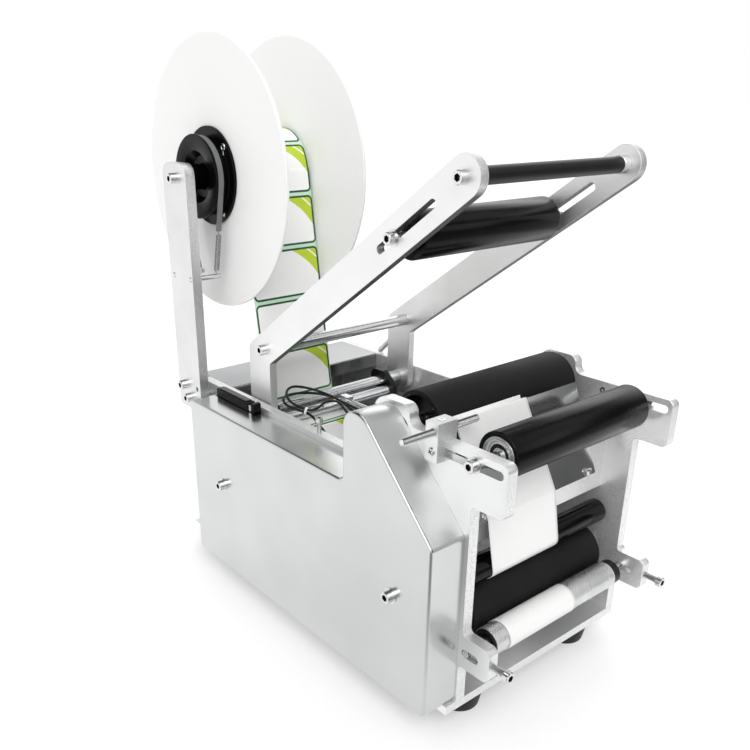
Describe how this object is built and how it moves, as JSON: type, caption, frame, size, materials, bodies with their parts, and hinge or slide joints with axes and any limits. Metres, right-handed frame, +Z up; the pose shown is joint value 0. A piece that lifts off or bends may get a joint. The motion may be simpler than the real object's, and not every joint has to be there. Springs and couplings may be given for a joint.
{
  "type": "bottle labelling machine",
  "caption": "Benchtop machine that sticks labels from a roll onto a round bottle: driven rubber rollers, peel plate, press arm and braked label reel on a plate frame.",
  "frame": {"origin": "centre of the bounding box at the underside of the feet", "axes": "+Z up, +X towards the operator's right along the rollers, -Y towards the operator"},
  "size_m": [0.2664, 0.555, 0.5405],
  "materials": {
    "stainless": "brushed",
    "plate_aluminium": "satin",
    "machined_steel": "turned",
    "bright_steel": "polished",
    "knurled_aluminium": "knurled",
    "roller_rubber": "matte",
    "belt_rubber": "matte",
    "black_plastic": "matte",
    "gloss_black": "gloss",
    "white_plastic": "satin",
    "grey_sheet": "satin",
    "band_steel": "satin",
    "label_paper": "satin",
    "liner_paper": "satin",
    "tie_plastic": "matte"
  },
  "bodies": {
    "machine_frame": {"base_plate": "plate_aluminium", "rubber_feet": "roller_rubber", "left_side_plate": "plate_aluminium", "right_side_plate": "plate_aluminium", "left_casing": "stainless", "rear_cover": "grey_sheet", "cross_bar": "plate_aluminium", "peel_plate": "stainless", "frame_screws": "bright_steel", "label_bed": "plate_aluminium", "strip_rods": "machined_steel", "arm_pivot_shaft": "machined_steel", "guide_bracket_left": "black_plastic", "arm_spring": "bright_steel", "nip_springs": "bright_steel", "reel_post": "plate_aluminium", "post_fittings": "bright_steel", "reel_axle": "machined_steel", "brake_band": "band_steel", "brake_spring": "bright_steel", "plate_bearings": "machined_steel", "drive_belts": "belt_rubber", "gear_motor": "black_plastic", "electronics": "black_plastic", "power_inlet": "black_plastic", "label_strip": "label_paper", "liner": "liner_paper", "sensor_amplifier": "gloss_black", "sensor_head": "machined_steel", "sensor_cable": "belt_rubber", "cable_tie": "tie_plastic", "stop_block": "plate_aluminium"},
    "drive_roller": {"drive_roller_core": "machined_steel", "drive_roller_cover": "roller_rubber"},
    "traction_roller": {"traction_roller_core": "machined_steel", "traction_roller_cover": "roller_rubber"},
    "motor_output": {"motor_shaft": "machined_steel"},
    "guide_roller": {"guide_roller": "gloss_black"},
    "idler_carriage": {"idler_shaft": "machined_steel"},
    "idler": {"idler_roller": "roller_rubber", "idler_bearings": "machined_steel"},
    "nip_carriage": {"knurled_shaft": "machined_steel", "liner_tail": "liner_paper"},
    "nip_roller": {"knurled_roller": "knurled_aluminium", "knurled_roller_ends": "black_plastic"},
    "nip_adjusters": {"nip_adjusting_bolts": "bright_steel"},
    "press_arm": {"press_arm_left": "plate_aluminium", "press_arm_right": "plate_aluminium", "arm_cross_rod": "machined_steel", "handle_grip": "black_plastic", "arm_screws": "bright_steel"},
    "press_carriage": {"press_roller_shaft": "machined_steel"},
    "press_roller": {"press_roller": "roller_rubber"},
    "reel": {"reel_hub": "black_plastic", "reel_disc_left": "white_plastic", "label_roll": "label_paper"},
    "reel_outer_disc": {"reel_disc_right": "white_plastic"},
    "stop_rod": {"stop_rod": "machined_steel"},
    "right_guide": {"guide_bracket_right": "black_plastic"},
    "power_switch": {"power_switch": "gloss_black"}
  },
  "joints": [
    {"name": "drive_roller_spin", "type": "hinge", "parent": "machine_frame", "child": "drive_roller", "pos_m": [0, -0.1498, 0.243], "axis": [1, 0, 0], "continuous": true},
    {"name": "traction_roller_spin", "type": "hinge", "parent": "machine_frame", "child": "traction_roller", "pos_m": [0, -0.1966, 0.088], "axis": [1, 0, 0], "continuous": true},
    {"name": "motor_spin", "type": "hinge", "parent": "machine_frame", "child": "motor_output", "pos_m": [0, -0.0876, 0.088], "axis": [1, 0, 0], "continuous": true},
    {"name": "guide_roller_spin", "type": "hinge", "parent": "machine_frame", "child": "guide_roller", "pos_m": [0, -0.2066, 0.128], "axis": [1, 0, 0], "continuous": true},
    {"name": "nip_carriage_slide", "type": "slide", "parent": "machine_frame", "child": "nip_carriage", "axis": [0, -1, 0], "range_m": [0, 0.005], "stiffness_N_per_m": 1500, "springref_m": -0.006, "deforming": ["nip_springs"]},
    {"name": "nip_roller_spin", "type": "hinge", "parent": "nip_carriage", "child": "nip_roller", "pos_m": [0, -0.23522, 0.079], "axis": [1, 0, 0], "continuous": true},
    {"name": "nip_adjuster_slide", "type": "slide", "parent": "machine_frame", "child": "nip_adjusters", "axis": [0, -1, 0], "range_m": [0, 0.004]},
    {"name": "idler_carriage_slide", "type": "slide", "parent": "machine_frame", "child": "idler_carriage", "axis": [0, 1, 0], "range_m": [-0.0235, 0.017]},
    {"name": "idler_spin", "type": "hinge", "parent": "idler_carriage", "child": "idler", "pos_m": [0, -0.2316, 0.241], "axis": [1, 0, 0], "continuous": true},
    {"name": "press_arm_swing", "type": "hinge", "parent": "machine_frame", "child": "press_arm", "pos_m": [0, 0.0634, 0.191], "axis": [1, 0, 0], "range_deg": [0, 25], "stiffness_Nm_per_rad": 1.9, "springref_deg": -68.75, "deforming": ["arm_spring"]},
    {"name": "press_roller_shift", "type": "slide", "parent": "press_arm", "child": "press_carriage", "axis": [0, -0.816, 0.578], "range_m": [-0.015, 0.045]},
    {"name": "press_roller_spin", "type": "hinge", "parent": "press_carriage", "child": "press_roller", "pos_m": [0, -0.12636, 0.38634], "axis": [1, 0, 0], "continuous": true},
    {"name": "reel_spin", "type": "hinge", "parent": "machine_frame", "child": "reel", "pos_m": [0, 0.1499, 0.4125], "axis": [1, 0, 0], "continuous": true},
    {"name": "reel_disc_shift", "type": "slide", "parent": "reel", "child": "reel_outer_disc", "axis": [1, 0, 0], "range_m": [0, 0.02]},
    {"name": "stop_rod_shift", "type": "slide", "parent": "machine_frame", "child": "stop_rod", "axis": [1, 0, 0], "range_m": [-0.02, 0.06]},
    {"name": "right_guide_shift", "type": "slide", "parent": "machine_frame", "child": "right_guide", "axis": [1, 0, 0], "range_m": [-0.055, 0]},
    {"name": "power_switch_rock", "type": "hinge", "parent": "machine_frame", "child": "power_switch", "pos_m": [0.07275, 0.1759, 0.1135], "axis": [0, 0, 1], "range_deg": [0, 10]}
  ],
  "couplings": [
    {"joint": "traction_roller_spin", "follows": "drive_roller_spin", "ratio": 1},
    {"joint": "motor_spin", "follows": "drive_roller_spin", "ratio": 1},
    {"joint": "guide_roller_spin", "follows": "drive_roller_spin", "ratio": -2.4091},
    {"joint": "nip_roller_spin", "follows": "drive_roller_spin", "ratio": -2.1811},
    {"joint": "reel_spin", "follows": "drive_roller_spin", "ratio": -0.6064}
  ]
}
